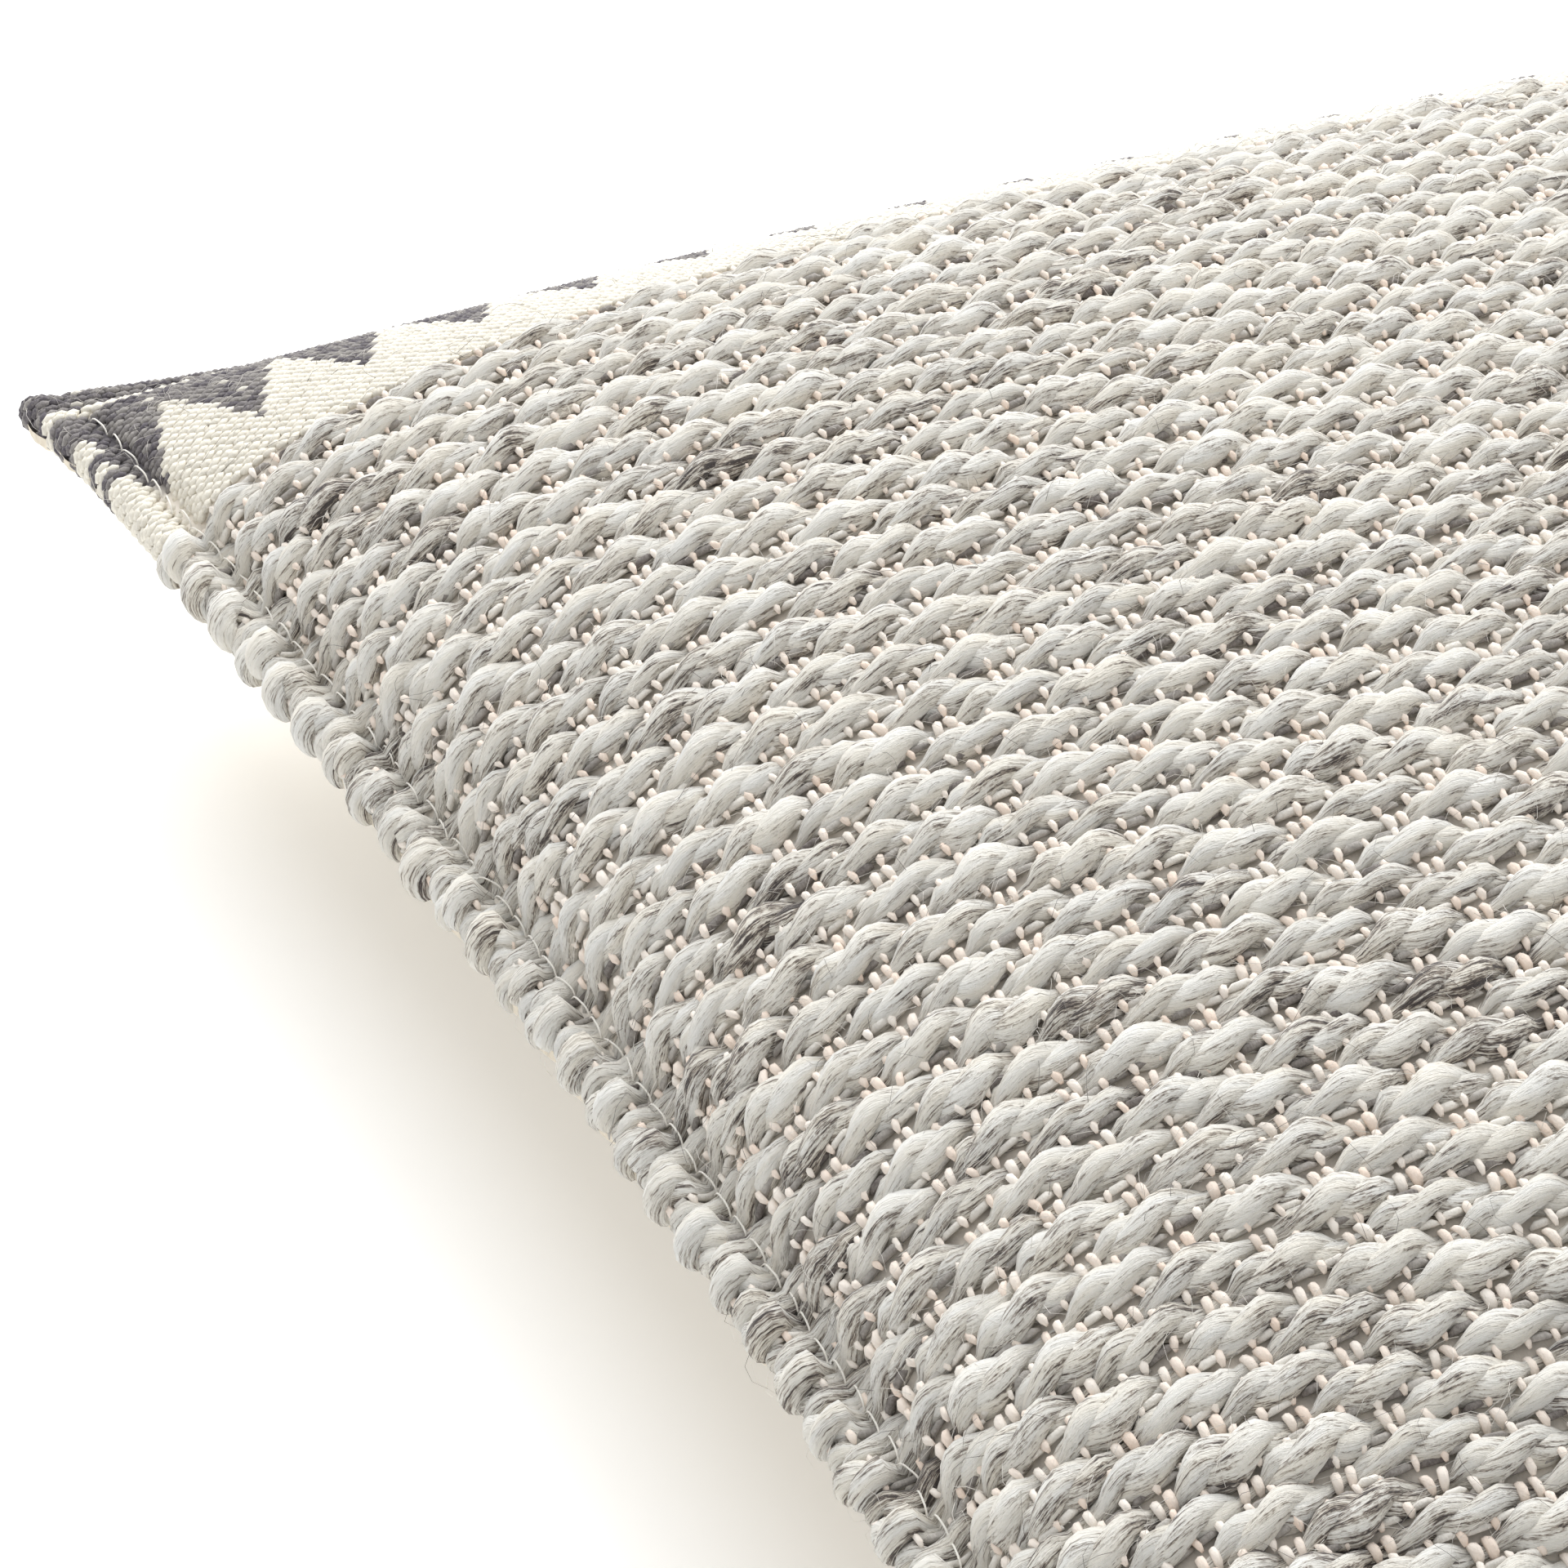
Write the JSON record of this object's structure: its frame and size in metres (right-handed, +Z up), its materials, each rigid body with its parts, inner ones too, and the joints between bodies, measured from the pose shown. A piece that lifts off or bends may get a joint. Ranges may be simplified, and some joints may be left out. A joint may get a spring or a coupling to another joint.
{
  "type": "throw pillow",
  "caption": "Square throw pillow with a chunky hand-woven wool face, zigzag flat-woven border, rolled topstitched edge, plain back and an edge zip over a removable insert.",
  "frame": {"origin": "on the surface the pillow rests on, under the middle of its outline", "axes": "+Z up through the crown of the woven face; +X along the weft and the zip; the zip edge faces -Y and the flat-woven border lies along the +Y edge"},
  "size_m": [0.4999, 0.4999, 0.1147],
  "materials": {
    "woven_wool": "hand-woven two-ply wool with a charcoal and cream flat-woven border",
    "back_cotton": "plain-woven natural cotton",
    "topstitch_thread": "off-white cotton thread",
    "insert_casing": "smooth white cotton",
    "insert_filling": "loose white fibre",
    "zip_tape": "woven tape",
    "zip_coil": "moulded nylon",
    "zip_metal": "satin zinc alloy"
  },
  "bodies": {
    "cushion": {"front_panel": "woven_wool", "back_panel": "back_cotton", "topstitch_back": "topstitch_thread", "topstitch_zip": "topstitch_thread", "topstitch_left": "topstitch_thread", "topstitch_right": "topstitch_thread", "insert_casing_front": "insert_casing", "insert_casing_back": "insert_casing", "insert_fill": "insert_filling", "zip_tape_upper": "zip_tape", "zip_tape_lower": "zip_tape", "zip_coil_upper": "zip_coil", "zip_coil_lower": "zip_coil", "zip_top_stop_upper": "zip_metal", "zip_top_stop_lower": "zip_metal", "zip_end_stop": "zip_metal"},
    "slider": {"zip_slider": "zip_metal"},
    "pull": {"zip_pull": "zip_metal"}
  },
  "joints": [
    {"name": "zip_slide", "type": "slide", "parent": "cushion", "child": "slider", "axis": [-1, 0, 0], "range_m": [0, 0.318]},
    {"name": "pull_hinge", "type": "hinge", "parent": "slider", "child": "pull", "pos_m": [0.163, -0.2392, 0.05], "axis": [0, 0, 1], "range_deg": [0, 170]}
  ]
}
